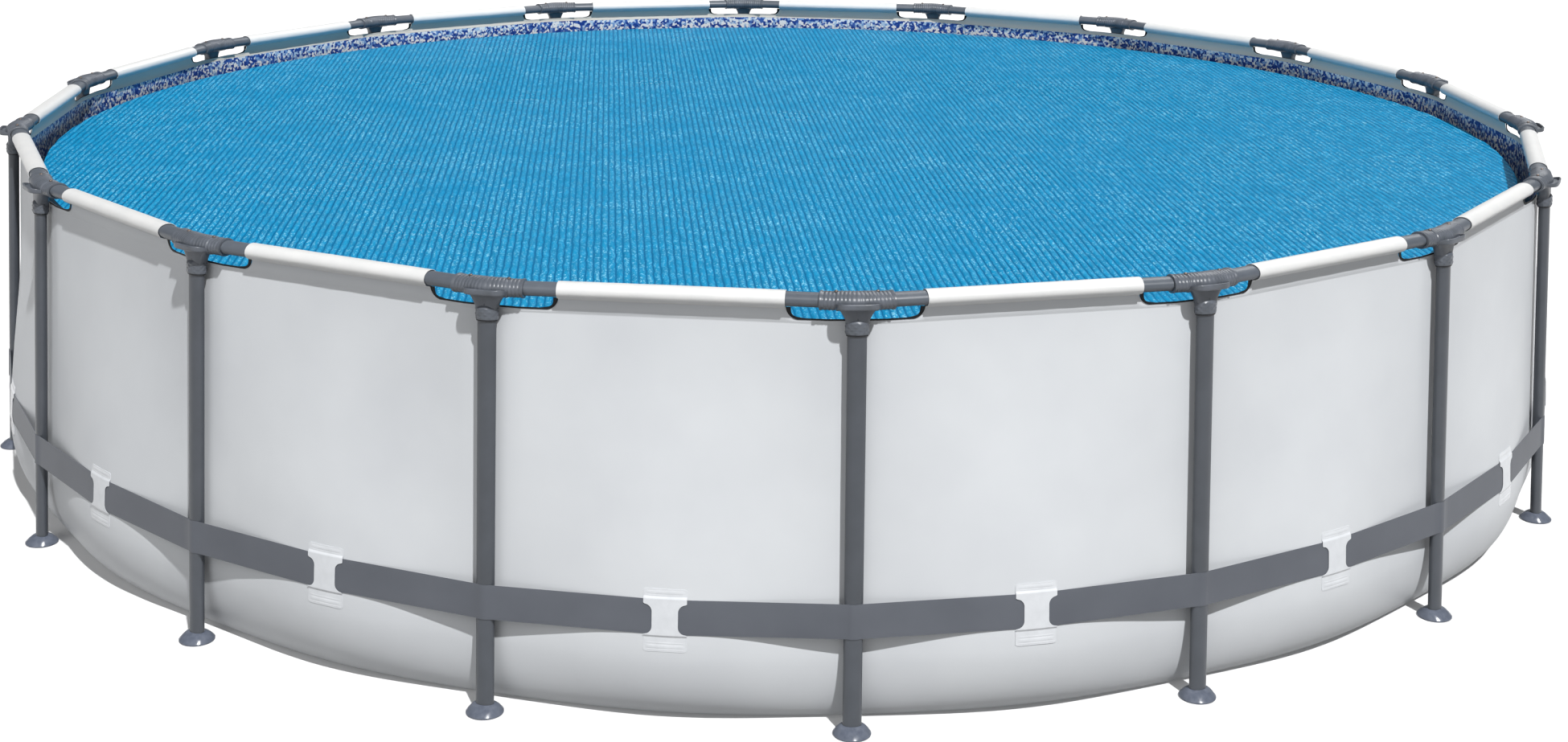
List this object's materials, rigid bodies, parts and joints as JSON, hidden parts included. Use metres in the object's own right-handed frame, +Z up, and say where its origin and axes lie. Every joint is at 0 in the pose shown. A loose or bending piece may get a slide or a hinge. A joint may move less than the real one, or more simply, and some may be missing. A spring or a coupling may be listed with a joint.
{
  "type": "frame pool with solar cover",
  "caption": "Round above-ground frame pool: splayed oval steel legs, top rails in T connectors, hung sheet liner, restraint strap and a floating bubble solar cover.",
  "frame": {"origin": "centre of the pool on the ground", "axes": "+Z up; -Y points from the centre to leg_01, and the panels with the hose ports are on the +Y side"},
  "size_m": [5.738, 5.8266, 1.184],
  "materials": {
    "leg_steel": "satin",
    "rail_steel": "satin",
    "connector_plastic": "satin",
    "liner_pvc": "satin",
    "strap_webbing": "matte",
    "cover_film": "gloss",
    "fitting_plastic": "satin",
    "plug_rubber": "matte"
  },
  "bodies": {
    "pool": {"leg_01": "leg_steel", "leg_02": "leg_steel", "leg_03": "leg_steel", "leg_04": "leg_steel", "leg_05": "leg_steel", "leg_06": "leg_steel", "leg_07": "leg_steel", "leg_08": "leg_steel", "leg_09": "leg_steel", "leg_10": "leg_steel", "leg_11": "leg_steel", "leg_12": "leg_steel", "leg_13": "leg_steel", "leg_14": "leg_steel", "leg_15": "leg_steel", "leg_16": "leg_steel", "leg_17": "leg_steel", "leg_18": "leg_steel", "t_connector_01": "connector_plastic", "t_connector_02": "connector_plastic", "t_connector_03": "connector_plastic", "t_connector_04": "connector_plastic", "t_connector_05": "connector_plastic", "t_connector_06": "connector_plastic", "t_connector_07": "connector_plastic", "t_connector_08": "connector_plastic", "t_connector_09": "connector_plastic", "t_connector_10": "connector_plastic", "t_connector_11": "connector_plastic", "t_connector_12": "connector_plastic", "t_connector_13": "connector_plastic", "t_connector_14": "connector_plastic", "t_connector_15": "connector_plastic", "t_connector_16": "connector_plastic", "t_connector_17": "connector_plastic", "t_connector_18": "connector_plastic", "top_rail_01": "rail_steel", "top_rail_02": "rail_steel", "top_rail_03": "rail_steel", "top_rail_04": "rail_steel", "top_rail_05": "rail_steel", "top_rail_06": "rail_steel", "top_rail_07": "rail_steel", "top_rail_08": "rail_steel", "top_rail_09": "rail_steel", "top_rail_10": "rail_steel", "top_rail_11": "rail_steel", "top_rail_12": "rail_steel", "top_rail_13": "rail_steel", "top_rail_14": "rail_steel", "top_rail_15": "rail_steel", "top_rail_16": "rail_steel", "top_rail_17": "rail_steel", "top_rail_18": "rail_steel", "liner": "liner_pvc", "restraint_strap": "strap_webbing"},
    "cover": {"solar_cover": "cover_film"},
    "drain_cap": {"drain_cap": "fitting_plastic"},
    "outlet_plug": {"outlet_plug": "plug_rubber"},
    "inlet_plug": {"inlet_plug": "plug_rubber"}
  },
  "joints": [
    {"name": "cover_lift", "type": "slide", "parent": "pool", "child": "cover", "axis": [0, 0, 1], "range_m": [0, 0.4]},
    {"name": "drain_cap_pull", "type": "slide", "parent": "pool", "child": "drain_cap", "axis": [-0.4959, 0.8589, -0.1282], "range_m": [0, 0.04]},
    {"name": "outlet_plug_pull", "type": "slide", "parent": "pool", "child": "outlet_plug", "axis": [-0.1707, -0.9682, -0.1831], "range_m": [0, 0.06]},
    {"name": "inlet_plug_pull", "type": "slide", "parent": "pool", "child": "inlet_plug", "axis": [0.1717, -0.9735, -0.1511], "range_m": [0, 0.06]}
  ]
}
